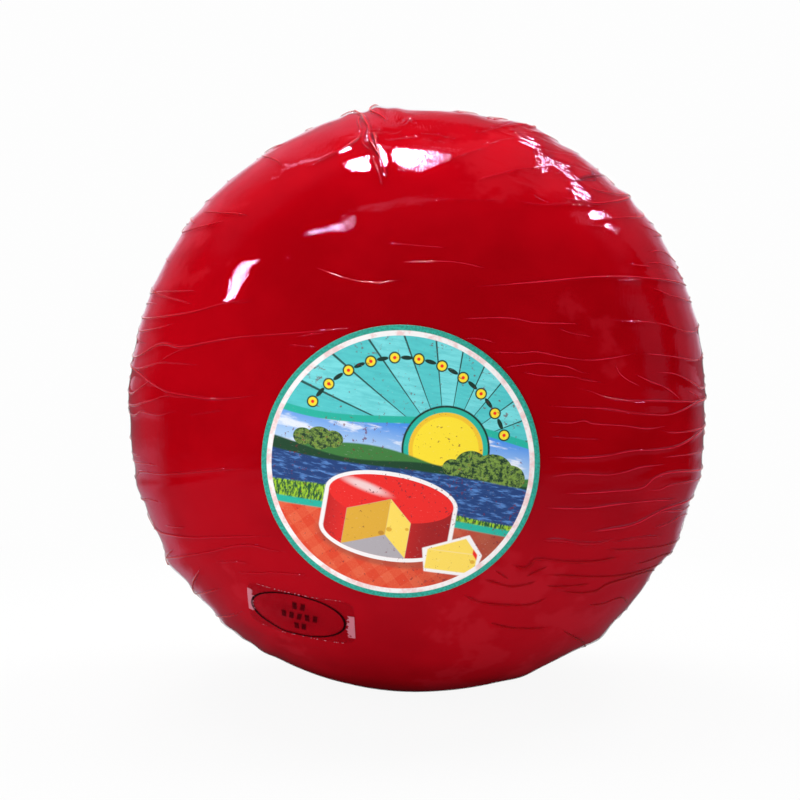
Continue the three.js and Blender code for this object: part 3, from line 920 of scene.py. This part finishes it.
def patchPiece(name, patch, wrinkle):
    # a thin closed patch: its outline |s / half width|^corner + |t / half height|^corner = 1, shrunk to rings
    # and laid on the ball along the normal at its middle; its profile goes out over the face, round the edge
    # and back in under it
    middle = landOnBall(np.array([patch["x"], -ball["rimRadius"], patch["z"]]), np.array([0, 1.0, 0]))
    normal = smoothNormal(middle)
    level = np.cross([0, 0, 1.0], normal)
    level /= np.linalg.norm(level)
    up = np.cross(normal, level)
    cos, sin = math.cos(patch["turn"]), math.sin(patch["turn"])
    across, along = level * cos + up * sin, up * cos - level * sin
    rings = np.sqrt(np.linspace(0, 1, patch["rings"]))
    share = np.concatenate([rings, [1.0], rings[::-1]])
    inner, outer = patch["inner"], patch["outer"]
    thick = outer - inner
    lift = np.concatenate([0 * rings + outer, [inner + thick / 2], 0 * rings + inner])
    share[[len(rings) - 1, len(rings) + 1]] -= 0.3 * thick / patch["halfHigh"]  # a rounded edge
    angle = np.linspace(0, 2 * math.pi, patch["segments"], endpoint=False)[None, :]
    power = patch["corner"]
    reach = ((np.abs(np.cos(angle)) / patch["halfWide"]) ** power
             + (np.abs(np.sin(angle)) / patch["halfHigh"]) ** power) ** (-1 / power)
    s, t = share[:, None] * reach * np.cos(angle), share[:, None] * reach * np.sin(angle)
    start = middle + normal * patch["halfWide"] / 2 + s[..., None] * across + t[..., None] * along
    p = landOnBall(start, -normal)
    face = lift[:, None] + wrinkle(s, t, share[:, None])
    p = p + smoothNormal(p) * (face + swellHeight(p))[..., None] + np.array([0, 0, ball["middleHeight"]])
    item = gridPiece(name, p[::-1], wrapColumns=True, poles=True)
    uv = np.stack([s / patch["halfWide"], t / patch["halfHigh"]], -1) / 2 + 0.5
    addUv(item, poleOrder(uv[::-1]))
    return item


def flatPlaces(tree, turn=0.0):
    # a patch's own places, from -1 to 1 each way, turned anticlockwise
    uv = addNode(tree, "ShaderNodeUVMap", {}, uv_map="flatPattern").outputs[0]
    centred = mapped(tree, uv, (2, 2, 1), (-1, -1, 0))
    flat = mapped(tree, centred, turn=turn)
    parts = partsOf(tree, flat)
    return flat, parts["X"], parts["Y"]


def spot(tree, flat, centre, size, turn=0.0, soft=0.03):
    # 1 inside an ellipse of half sizes, 0 outside it
    inside = mapped(tree, flat, (*size, 1), (*centre, 0), turn, "TEXTURE")
    return ramp(tree, lengthOf(tree, inside), 1 - soft, 1 + soft, 1.0, 0.0)


def bar(tree, flat, centre, size, turn, soft):
    # 1 inside an upright or turned rectangle of half sizes, 0 outside it
    inside = mapped(tree, flat, (*size, 1), (*centre, 0), turn, "TEXTURE")
    inside = addNode(tree, "ShaderNodeVectorMath", {0: inside}, operation="ABSOLUTE").outputs[0]
    parts = partsOf(tree, inside)
    return ramp(tree, larger(tree, parts["X"], parts["Y"]), 1 - soft, 1 + soft, 1.0, 0.0)


def below(tree, x, y, middle, high, often, shift, soft=0.008):
    # 1 under the curve middle + high * sin(often * x + shift)
    wave = maths(tree, "SINE", plus(tree, times(tree, x, often), shift))
    over = maths(tree, "SUBTRACT", y, times(tree, wave, high))
    return ramp(tree, over, middle - soft, middle + soft, 1.0, 0.0)


def leftOf(tree, x, y, start, end, soft=0.006):
    # 1 on the left of the line from start to end: how far a place is off it is a dot product with its normal
    run = np.subtract(end, start) / np.linalg.norm(np.subtract(end, start))
    normal = np.array([-run[1], run[0]])
    off = plus(tree, times(tree, x, float(normal[0])), times(tree, y, float(normal[1])))
    return ramp(tree, maths(tree, "SUBTRACT", off, float(normal @ start)), -soft, soft)


def insideOf(tree, x, y, corners, soft=0.006):
    # 1 inside a convex outline whose corners go anticlockwise: the product of its sides
    mask = 1.0
    for start, end in zip(corners, corners[1:] + corners[:1]):
        mask = times(tree, mask, leftOf(tree, x, y, start, end, soft))
    return mask


art = {
    "turn": 10 * degree,  # the print leans clockwise
    "teal": srgb(36, 146, 128),
    "tealLight": srgb(44, 178, 160),
    "ring": srgb(246, 242, 242),
    "ringStain": srgb(240, 204, 204),
    "ray": srgb(84, 204, 206),
    "rayPale": srgb(120, 222, 226),
    "rayShade": srgb(60, 178, 184),
    "line": srgb(22, 60, 50),
    "skyHigh": srgb(36, 134, 232),
    "skyLow": srgb(176, 208, 242),
    "cloud": srgb(236, 240, 250),
    "sun": srgb(252, 224, 44),
    "sunShade": srgb(244, 196, 40),
    "hill": srgb(64, 130, 62),
    "hillDark": srgb(30, 76, 48),
    "leaf": srgb(128, 162, 66),
    "leafDark": srgb(30, 62, 42),
    "meadow": srgb(158, 204, 40),
    "meadowDark": srgb(36, 92, 52),
    "water": srgb(30, 66, 128),
    "waterLight": srgb(84, 134, 204),
    "band": srgb(28, 182, 161),
    "rind": srgb(240, 34, 30),
    "rindDark": srgb(166, 18, 22),
    "cheese": srgb(252, 218, 92),
    "cheeseShade": srgb(226, 172, 52),
    "cheeseDark": srgb(196, 138, 40),
    "cloth": srgb(226, 66, 34),
    "clothPale": srgb(236, 112, 74),
    "clothBrown": srgb(150, 77, 60),
    "board": srgb(176, 170, 176),
    "speckle": srgb(118, 32, 48),
    # places and sizes in the print are shares of the label's half size
    "sunMiddle": (0.30, 0.17),
    "discs": ((0.315, "line"), (0.30, "band"), (0.265, "sunShade"), (0.235, "sun")),
    "trees": ((0.50, 0.09, 0.10), (0.66, 0.07, 0.12), (0.79, 0.04, 0.09), (0.37, 0.05, 0.06),
              (-0.50, 0.10, 0.06), (-0.60, 0.09, 0.08), (-0.72, 0.08, 0.06)),
    "wheel": (-0.02, -0.25, 0.45, 0.165, 0.27),  # middle, half sizes of its top, and how thick it is
    "cut": (228, 292),  # where the missing wedge starts and ends, in degrees round the top
    "wedge": ((0.30, -0.57), (0.66, -0.56), (0.56, -0.45)),  # the corners of its top
    "wedgeThick": 0.15,
    "flowers": (11, 154, 6.4, 0.77),  # how many, degrees round of the first and to the next leaf, how far out
    "whiteRing": (0.921, 0.927),
    "tealRing": (0.957, 0.963),
}


def wheelBody(tree, flat, grow):
    # the outline of a cylinder seen a little from above: two ellipses and what lies between them
    x, y, wide, high, thick = art["wheel"]
    size = (wide + grow, high + grow)
    body = bar(tree, flat, (x, y - thick / 2), (wide + grow, thick / 2), 0.0, 0.012)
    body = larger(tree, body, spot(tree, flat, (x, y), size, soft=0.012))
    return larger(tree, body, spot(tree, flat, (x, y - thick), size, soft=0.012))


def cheeseTones(tree, flat):
    # cut cheese with small holes, in the light and in the shade
    values = {"Vector": mapped(tree, flat, (8, 10, 1)), "Scale": 1.0}
    holes = ramp(tree, addNode(tree, "ShaderNodeTexVoronoi", values).outputs[0], 0.16, 0.2)
    pale = mixColour(tree, holes, art["cheeseShade"], art["cheese"])
    return pale, mixColour(tree, holes, art["cheeseDark"], art["cheeseShade"])


def paintWheel(tree, flat, x, y, colour, pale, deep):
    # a red cheese wheel with a wedge cut out towards the front
    middleX, middleY, wide, high, thick = art["wheel"]
    shadow = spot(tree, flat, (middleX + 0.05, middleY - thick - 0.03), (wide + 0.09, high + 0.04), soft=0.08)
    colour = mixColour(tree, times(tree, shadow, 0.55), colour, art["clothBrown"])
    colour = mixColour(tree, wheelBody(tree, flat, 0.03), colour, art["ring"])
    body = wheelBody(tree, flat, 0.0)
    light = maths(tree, "ABSOLUTE", maths(tree, "SUBTRACT", x, middleX - 0.16))
    side = mixColour(tree, ramp(tree, light, 0.02, 0.5), art["rind"], art["rindDark"])
    colour = mixColour(tree, body, colour, side)
    top = spot(tree, flat, (middleX, middleY), (wide, high), soft=0.012)
    colour = mixColour(tree, top, colour, art["rind"])
    gleam = times(tree, spot(tree, flat, (middleX - 0.2, middleY + 0.06), (0.16, 0.03), -0.2, 0.6), 0.7)
    colour = mixColour(tree, gleam, colour, art["ring"])
    middle = np.array([middleX, middleY])
    down = np.array([0, -thick])
    first, last = (middle + [wide * math.cos(turn * degree), high * math.sin(turn * degree)]
                   for turn in art["cut"])
    gone = times(tree, leftOf(tree, x, y, middle, first, 0.004), leftOf(tree, x, y, last, middle, 0.004))
    gone = times(tree, gone, bar(tree, flat, ((first[0] + last[0]) / 2, middleY - 0.3),
                                             ((last[0] - first[0]) / 2, 0.4), 0.0, 0.02))
    gone = times(tree, gone, body)
    leftFace = insideOf(tree, x, y, [first, first + down, middle + down, middle], 0.004)
    rightFace = insideOf(tree, x, y, [middle, middle + down, last + down, last], 0.004)
    colour = mixColour(tree, gone, colour, art["board"])
    colour = mixColour(tree, times(tree, gone, leftFace), colour, deep)
    return mixColour(tree, times(tree, gone, rightFace), colour, pale)


def paintWedge(tree, x, y, colour, pale):
    # the wedge lying before the wheel, with a pale edge: its top, its long side and its short round side
    tip, near, far = np.array(art["wedge"])
    down = np.array([0, -art["wedgeThick"]])
    edge = insideOf(tree, x, y, [tip + [-0.04, 0], tip + down * 1.16, near + down * 1.16, near + [0.035, 0],
                                 far + [0.02, 0.03]])
    colour = mixColour(tree, edge, colour, art["ring"])
    colour = mixColour(tree, insideOf(tree, x, y, [tip, near, far]), colour, art["cheese"])
    colour = mixColour(tree, insideOf(tree, x, y, [tip, tip + down, near + down, near]), colour, pale)
    inset = [-0.035, 0]
    rim = [near + inset, near + down + inset, near + down, near, far, far + [-0.03, 0]]
    return mixColour(tree, insideOf(tree, x, y, rim), colour, art["rind"])


def paintLand(tree, flat, x, y, colour):
    # far hills with round trees, a lake with glitter and a reedy meadow
    colour = mixColour(tree, below(tree, x, y, 0.06, 0.05, 4.0, 2.4), colour, art["hill"])
    colour = mixColour(tree, below(tree, x, y, 0.02, 0.03, 5.0, 0.4), colour, art["hillDark"])
    leaves = noise(tree, flat, 30, 4, 0.75)
    leaf = mixColour(tree, ramp(tree, leaves, 0.4, 0.6), art["leafDark"], art["leaf"])
    for across, up, size in art["trees"]:
        shape = spot(tree, flat, (across, up), (size * 1.15, size), soft=0.16)
        rough = ramp(tree, times(tree, shape, plus(tree, leaves, 0.5)), 0.3, 0.5)
        colour = mixColour(tree, rough, colour, leaf)
    glitter = noise(tree, mapped(tree, flat, (10, 44, 1)), 1.0, 3, 0.6)
    lake = mixColour(tree, ramp(tree, glitter, 0.48, 0.68), art["water"], art["waterLight"])
    colour = mixColour(tree, below(tree, x, y, -0.03, 0.02, 3.0, 0.4), colour, lake)
    grass = noise(tree, mapped(tree, flat, (60, 20, 1)), 1.0, 3, 0.6)
    reeds = mixColour(tree, ramp(tree, grass, 0.42, 0.6), art["meadowDark"], art["meadow"])
    return mixColour(tree, below(tree, x, y, -0.27, 0.04, 2.6, 2.4), colour, reeds)


def paintSky(tree, flat, x, y):
    # rays from the sun with fine dark lines between them, and under a curved edge a blue sky with long clouds
    across, up = art["sunMiddle"]
    fromSun = partsOf(tree, mapped(tree, flat, place=(-across, -up, 0)))
    angle = maths(tree, "ARCTAN2", fromSun["Y"], fromSun["X"])
    rays = maths(tree, "SINE", times(tree, angle, 12.0))
    grain = ramp(tree, noise(tree, mapped(tree, flat, (5, 30, 1)), 1.0, 4, 0.7), 0.35, 0.68)
    colour = mixColour(tree, ramp(tree, rays, -0.3, 0.3), art["ray"], art["rayPale"])
    colour = mixColour(tree, times(tree, grain, 0.45), colour, art["rayShade"])
    lines = ramp(tree, maths(tree, "ABSOLUTE", rays), 0.06, 0.13, 0.9, 0.0)
    colour = mixColour(tree, lines, colour, art["line"])
    sky = mixColour(tree, ramp(tree, y, 0.02, 0.36), art["skyLow"], art["skyHigh"])
    streaks = noise(tree, mapped(tree, flat, (1.8, 7.0, 1)), 1.6, 5, 0.6)
    sky = mixColour(tree, ramp(tree, streaks, 0.5, 0.62, 0.0, 0.9), sky, art["cloud"])
    colour = mixColour(tree, below(tree, x, y, 0.33, 0.05, 3.2, 0.6, 0.005), colour, art["band"])
    colour = mixColour(tree, below(tree, x, y, 0.28, 0.05, 3.2, 0.6, 0.005), colour, sky)
    for size, tone in art["discs"]:
        disc = spot(tree, flat, art["sunMiddle"], (size, size), soft=0.015)
        colour = mixColour(tree, disc, colour, art[tone])
    return colour


def paintCloth(tree, flat, x, y, colour):
    # a woven check in oranges, browner to the right, under a green edge
    colour = mixColour(tree, below(tree, x, y, -0.36, 0.03, 2.0, 1.0), colour, art["band"])
    first = maths(tree, "SINE", times(tree, plus(tree, x, y), 30.0))
    second = maths(tree, "SINE", times(tree, maths(tree, "SUBTRACT", x, y), 30.0))
    checks = plus(tree, ramp(tree, first, -0.12, 0.12, 0.0, 0.3), ramp(tree, second, -0.12, 0.12, 0.0, 0.3))
    threads = noise(tree, mapped(tree, flat, (90, 90, 1), turn=0.8), 1.0, 2)
    threads = ramp(tree, threads, 0.35, 0.65, -0.1, 0.1)
    cloth = mixColour(tree, plus(tree, checks, threads), art["cloth"], art["clothPale"])
    cloth = mixColour(tree, ramp(tree, x, 0.1, 0.8, 0.0, 0.75), cloth, art["clothBrown"])
    return mixColour(tree, below(tree, x, y, -0.41, 0.03, 2.0, 1.0), colour, cloth)


def paintFlowers(tree, flat, colour):
    # small yellow flowers with dark edges along the upper border, and leaves between them
    count, first, apart, out = art["flowers"]
    for step in range(2 * count - 1):
        around = (first - step * apart) * degree
        place = (out * math.cos(around), out * math.sin(around))
        if step % 2:
            leaf = spot(tree, flat, place, (0.042, 0.015), around + math.pi / 2, 0.12)
            colour = mixColour(tree, leaf, colour, art["line"])
        else:
            for size, tone, soft in ((0.042, "line", 0.08), (0.032, "sun", 0.1), (0.012, "rind", 0.3)):
                colour = mixColour(tree, spot(tree, flat, place, (size, size), soft=soft), colour, art[tone])
    return colour


def labelColour(tree):
    # a farm picture: rays and a sun over hills and a lake, and a cut cheese on a cloth, in two plain rings
    flat, x, y = flatPlaces(tree, art["turn"])
    distance = lengthOf(tree, flat)
    pale, deep = cheeseTones(tree, flat)
    colour = paintSky(tree, flat, x, y)
    colour = paintFlowers(tree, flat, colour)
    colour = paintLand(tree, flat, x, y, colour)
    colour = paintCloth(tree, flat, x, y, colour)
    colour = paintWheel(tree, flat, x, y, colour, pale, deep)
    colour = paintWedge(tree, x, y, colour, pale)
    # worn print: pale scuffs and dark red speckles, thicker in clouds
    thick = times(tree, noise(tree, flat, 3.2, 2, 0.5), 0.3)
    speckles = plus(tree, noise(tree, flat, 30, 4, 0.7), thick)
    colour = mixColour(tree, ramp(tree, speckles, 0.775, 0.80, 0.0, 0.7), colour, art["speckle"])
    scuffs = noise(tree, mapped(tree, flat, (30, 90, 1), turn=0.3), 1.0, 4, 0.7)
    colour = mixColour(tree, ramp(tree, scuffs, 0.62, 0.72, 0.0, 0.3), colour, art["ring"])
    stains = ramp(tree, noise(tree, flat, 9, 5, 0.7), 0.44, 0.62)
    ring = mixColour(tree, stains, art["ring"], art["ringStain"])
    colour = mixColour(tree, ramp(tree, distance, *art["whiteRing"]), colour, ring)
    mottle = ramp(tree, noise(tree, flat, 60, 3, 0.7), 0.4, 0.62)
    rim = mixColour(tree, mottle, art["teal"], art["tealLight"])
    return mixColour(tree, ramp(tree, distance, *art["tealRing"]), colour, rim)


def labelMaterial():
    # printed paper with a faint tooth and a satin coat
    material, tree = newMaterial("printedLabel")
    flat = flatPlaces(tree)[0]
    fibres = noise(tree, flat, 130, 4, 0.65)
    shader = addNode(tree, "ShaderNodeBsdfPrincipled", {
        "Base Color": labelColour(tree),
        "Roughness": ramp(tree, fibres, 0.3, 0.7, 0.42, 0.56),
        "Specular IOR Level": 0.3,
        "Normal": bumpFrom(tree, fibres, 0.2, 0.03 * mm)}).outputs[0]
    finishMaterial(tree, shader)
    return material


def labelWrinkle(s, t, share):
    # a slack wave across the paper that dies out at the middle
    return 0.02 * mm * np.sin(s * 210 + 1) * np.sin(t * 160 + 2) * share ** 2


roundLabel = patchPiece("round_label_print", label, labelWrinkle)
roundLabel.data.materials.append(labelMaterial())
print("label: made")

mark = {
    "oval": (0.875, 0.93),  # half sizes as shares of the sticker's
    "middle": (-0.045, 0.0),
    "line": 0.02,
    "bloom": 0.1,
    "stroke": (0.042, 0.15),  # half sizes of a stroke, and how dark they are
    "strokes": 0.45,
    "cover": 0.06,
    "ior": 1.2,  # it lies under the film, so it shines less
    "ink": srgb(16, 2, 5),
    "tint": srgb(70, 0, 8),
    "air": srgb(222, 140, 156),
    # rows of plain strokes inside the oval: height, count and spacing
    "rows": ((0.46, 2, 0.15), (0.0, 5, 0.145), (-0.46, 2, 0.13)),
}


def stickerPrint(tree, flat):
    # a thin ring, 1 where (x / half width)^2 + (y / half height)^2 is near 1, and rows of upright strokes
    ring = mapped(tree, flat, (*mark["oval"], 1), (*mark["middle"], 0), kind="TEXTURE")
    length = lengthOf(tree, ring)
    off = maths(tree, "ABSOLUTE", maths(tree, "SUBTRACT", length, 1.0))
    inked = ramp(tree, off, mark["line"] * 0.6, mark["line"] * 1.7, 0.85, 0.0)
    for height, count, gap in mark["rows"]:
        for step in range(count):
            place = ((step - (count - 1) / 2) * gap, height)
            stroke = bar(tree, flat, place, mark["stroke"], -0.06 * (step % 3), 0.3)
            inked = larger(tree, inked, times(tree, stroke, mark["strokes"]))
    # a faint grey bloom inside the ring
    return larger(tree, inked, ramp(tree, length, 0.35, 1.0, mark["bloom"], 0.0))


def stickerMaterial():
    # clear sticker: dark print, and ragged pale air pockets at its left and lower right ends
    material, tree = newMaterial("clearSticker")
    flat, x, y = flatPlaces(tree)
    inked = stickerPrint(tree, flat)
    torn = times(tree, noise(tree, mapped(tree, flat, (4, 3, 1)), 1.6, 5, 0.7), 0.34)
    ends = ramp(tree, plus(tree, maths(tree, "ABSOLUTE", x), torn), 1.055, 1.065)
    tall = addNode(tree, "ShaderNodeMath", {0: y, 1: times(tree, x, -0.15), 2: 0.5},
                   operation="COMPARE").outputs[0]
    edge = ramp(tree, maths(tree, "ABSOLUTE", y), 0.955, 0.965)
    dots = ramp(tree, noise(tree, mapped(tree, flat, (26, 8, 1)), 1.0, 2, 0.5), 0.54, 0.6)
    air = larger(tree, times(tree, ends, tall), times(tree, edge, dots))
    cover = larger(tree, larger(tree, inked, times(tree, air, 0.5)), mark["cover"])
    colour = mixColour(tree, air, mark["tint"], mark["air"])
    colour = mixColour(tree, inked, colour, mark["ink"])
    finishMaterial(tree, clearSkin(tree, cover, colour, 0.0, 0.1, 0.2, mark["ior"], mark["ior"]))
    return material


def stickerWrinkle(s, t, share):
    return 0.01 * mm * np.sin(s * 700) * np.sin(t * 900) * share ** 2


ovalSticker = patchPiece("oval_sticker_clear", sticker, stickerWrinkle)
ovalSticker.data.materials.append(stickerMaterial())
print("sticker: made")


stage = {
    "floorSize": 4.0,
    "floorGrey": (0.55, 0.55, 0.55, 1),
    "shadow": 0.06,  # how much of the floor's own shading the camera sees near the ball
    "shadowUpTo": (0.1, 0.26),  # metres from the middle over which that goes out
    "bounceLeft": 1.2,  # light that the floor sends up to the ball
    "bounceRight": 0.82,
    "bounceSides": (-0.3, 0.3),
    "bounceShadowReach": (0.0, 0.09),  # metres from the middle over which that comes in; nearer, a painted shadow of the ball dims it
    "mirrorFront": 0.13,  # how bright the floor is in reflections, before the ball and behind it
    "mirrorBehind": 0.5,
    "frontUpTo": (0.2, 0.33),
    "behindUpTo": (0.25, 0.6),
    # metres from the middle over which the floor in reflections comes out of the painted shadow of the ball
    "mirrorShadowReach": (0.025, 0.08),
    "ambientLeft": 0.74,  # soft light from all round
    "ambientRight": 0.46,
    "white": 0.985,
    "roomDark": 0.0,  # the room in reflections, where none of its parts are
}


def glowing(tree, strength):
    return addNode(tree, "ShaderNodeEmission", {"Strength": strength}).outputs[0]


def floorGlow(tree, parts, length):
    # how bright the floor is in reflections: it changes over from front to rear by y / length, sooner on the
    # left, and a painted shadow of the ball makes it dark right under the ball
    front = ramp(tree, length, *stage["frontUpTo"], stage["mirrorFront"], stage["roomDark"])
    rear = ramp(tree, parts["X"], -0.12, 0.06, stage["mirrorBehind"] * 0.8, stage["mirrorBehind"])
    rear = times(tree, rear, ramp(tree, length, *stage["behindUpTo"], 1.0, 0.3))
    behind = maths(tree, "DIVIDE", parts["Y"], plus(tree, length, 0.01))
    behind = plus(tree, behind, ramp(tree, parts["X"], -0.1, -0.02, 0.45, 0.0))
    isRear = ramp(tree, behind, 0.5, 0.8)
    front = times(tree, front, maths(tree, "SUBTRACT", 1.0, isRear))
    glow = plus(tree, times(tree, rear, isRear), front)
    return times(tree, glow, ramp(tree, length, *stage["mirrorShadowReach"], 0.04, 1.0))


def makeFloor():
    half = stage["floorSize"] / 2
    corners = np.array([[[-half, -half, 0], [half, -half, 0]], [[-half, half, 0], [half, half, 0]]], float)
    item = gridPiece("floor", corners, smooth=False)
    material, tree = newMaterial("paleFloor")
    places = objectPlaces(tree)
    parts, length = partsOf(tree, places), lengthOf(tree, places)
    rays = tree.nodes.new("ShaderNodeLightPath").outputs
    # the floor glows to send light up to the ball, with a painted shadow of the ball under it
    bounce = ramp(tree, parts["X"], *stage["bounceSides"], stage["bounceLeft"], stage["bounceRight"])
    bounce = times(tree, bounce, ramp(tree, length, *stage["bounceShadowReach"], 0.05, 1.0))
    pale = addNode(tree, "ShaderNodeBsdfPrincipled", {
        "Base Color": stage["floorGrey"], "Roughness": 0.9, "Specular IOR Level": 0.0}).outputs[0]
    near = ramp(tree, length, *stage["shadowUpTo"], stage["shadow"], 0.0)
    seen = mixShader(tree, near, glowing(tree, stage["white"]), pale)
    direct = mixShader(tree, rays["Is Camera Ray"], glowing(tree, bounce), seen)
    mirrored = glowing(tree, floorGlow(tree, parts, length))
    finishMaterial(tree, mixShader(tree, rays["Is Glossy Ray"], direct, mirrored))
    item.data.materials.append(material)


# the room in reflections: each part of it is a product of smooth steps, every one along y, z, x without its
# sign or the turn from the front in degrees, from where to where, and from how bright to how bright
room = {
    "left": (("turn", -165, -112, 0.31, 0.0), ("z", 0.68, 0.80, 1.0, 0.0)),
    "right": (("turn", 112, 158, 0.0, 0.4), ("z", 0.22, 0.42, 1.0, 0.0)),
    "high": (("y", 0.0, 0.2, 0.0, 0.09), ("z", 0.45, 0.6, 0.0, 1.0), ("aside", 0.1, 0.45, 0.4, 1.0)),
    "panel": (("turn", 83, 86, 0.0, 0.14), ("turn", 102, 104, 1.0, 0.0), ("z", 0.34, 0.5, 1.0, 0.0)),
    "farPanel": (("turn", 117, 119, 0.0, 0.14), ("z", 0.55, 0.65, 1.0, 0.0)),
    "backdrop": (("y", 0.82, 0.98, 0.0, 0.85), ("z", 0.15, 0.32, 1.0, 0.2)),
}


def roomGlow(tree, parts):
    # in each direction the brightest part of the room, over its darkness
    turn = maths(tree, "ARCTAN2", parts["X"], times(tree, parts["Y"], -1.0))
    values = {
        "y": parts["Y"],
        "z": parts["Z"],
        "turn": maths(tree, "DIVIDE", turn, degree),
        "aside": maths(tree, "ABSOLUTE", parts["X"]),
    }
    brightest = stage["roomDark"]
    for steps in room.values():
        glow = 1.0
        for value, *step in steps:
            glow = times(tree, glow, ramp(tree, values[value], *step))
        brightest = larger(tree, brightest, glow)
    return brightest


def makeWorld():
    # white for the camera, an even soft light, and the room in reflections
    world = bpy.data.worlds.new("studio")
    world.use_nodes = True
    world.cycles.sampling_method = "NONE"
    tree = world.node_tree
    tree.nodes.clear()
    ways = tree.nodes.new("ShaderNodeTexCoord").outputs["Generated"]
    parts = partsOf(tree, ways)
    rays = tree.nodes.new("ShaderNodeLightPath").outputs
    ambient = ramp(tree, parts["X"], -1.0, 1.0, stage["ambientLeft"], stage["ambientRight"])
    light = mixColour(tree, rays["Is Glossy Ray"], ambient, roomGlow(tree, parts))
    light = mixColour(tree, rays["Is Camera Ray"], light, (stage["white"],) * 3 + (1,))
    background = addNode(tree, "ShaderNodeBackground", {"Color": light})
    addNode(tree, "ShaderNodeOutputWorld", {"Surface": background.outputs[0]})
    bpy.context.scene.world = world


# lamps: each is a strip from one direction to another, both as degrees round from the front towards +X and
# degrees up, then its distance and width in metres, how bright it is, and whether it lights the ball softly
# or only shows in its shine, as a strip or with round ends
lamps = {
    "overhead": ((-150, 45), (-150, 80), 0.9, 0.5, 11.4, "soft"),
    "leftSoft": ((-85, 25), (-55, 25), 0.9, 0.4, 3, "soft"),
    "rightSoft": ((128, 42), (128, 70), 0.9, 0.4, 13, "soft"),
    "frontSoft": ((-25, 14), (10, 14), 0.9, 0.5, 1.7, "soft"),
    "topWindow": ((-116.6, 74.4), (168, 86.6), 0.75, 0.23, 80, "round"),
    "topGlow": ((172, 75), (163, 74), 0.75, 0.07, 0.8, "shine"),
    "leftWindow": ((-75, 26), (-72, 38), 0.9, 0.06, 80, "shine"),
    "leftStreak": ((-47, 48), (-36, 55), 0.9, 0.018, 80, "shine"),
    "leftFaint": ((-32, 60), (5, 68), 0.9, 0.05, 0.6, "shine"),
    "backGlow": ((-134, 48), (-143, 56), 0.9, 0.06, 2.5, "shine"),
    "rightWindow": ((111, 46.3), (113.5, 41.5), 0.9, 0.08, 80, "shine"),
    "rightStrip": ((118, 40), (160, 44), 0.9, 0.014, 50, "shine"),
    "rightFaint": ((92, 47), (110, 45), 0.9, 0.06, 0.5, "shine"),
}


def wayTo(turn, up):
    # the direction (sin turn cos up, -cos turn cos up, sin up)
    turn, up = turn * degree, up * degree
    return np.array([math.sin(turn) * math.cos(up), -math.cos(turn) * math.cos(up), math.sin(up)])


def makeLamp(name, first, last, distance, width, bright, kind):
    # a flat strip between the two directions that faces the ball
    ends = [wayTo(*first) * distance, wayTo(*last) * distance]
    along = ends[1] - ends[0]
    length = np.linalg.norm(along)
    along /= length
    place = (ends[0] + ends[1]) / 2
    back = place - along * (place @ along)
    back /= np.linalg.norm(back)
    data = bpy.data.lights.new(name, "AREA")
    data.shape, data.size, data.size_y = "ELLIPSE" if kind == "round" else "RECTANGLE", length, width
    data.energy = bright * math.pi * length * width
    item = bpy.data.objects.new(name, data)
    axes = np.stack([along, np.cross(back, along), back], 1)
    turned = mathutils.Matrix(axes.tolist()).to_4x4()
    item.matrix_world = mathutils.Matrix.Translation(place + [0, 0, ball["middleHeight"]]) @ turned
    item.visible_camera = False
    item.visible_glossy = kind != "soft"
    item.visible_diffuse = kind == "soft"
    bpy.context.scene.collection.objects.link(item)


makeFloor()
makeWorld()
for lampName, lampValues in lamps.items():
    makeLamp(lampName, *lampValues)
bpy.context.scene.view_settings.view_transform = "Standard"
print("stage: made")


for piece, node, slotName in (
    (waxedCheese, "cheese_ball_in_film", "red_wax"),
    (clearFilm, "cheese_ball_in_film", "clear_film"),
    (frontCreases, "cheese_ball_in_film", "clear_film"),
    (sideCreases, "cheese_ball_in_film", "clear_film"),
    (roundLabel, "round_label", "label_paper"),
    (ovalSticker, "oval_mark_sticker", "sticker_film"),
):
    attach(piece, "root")
    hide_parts(node)
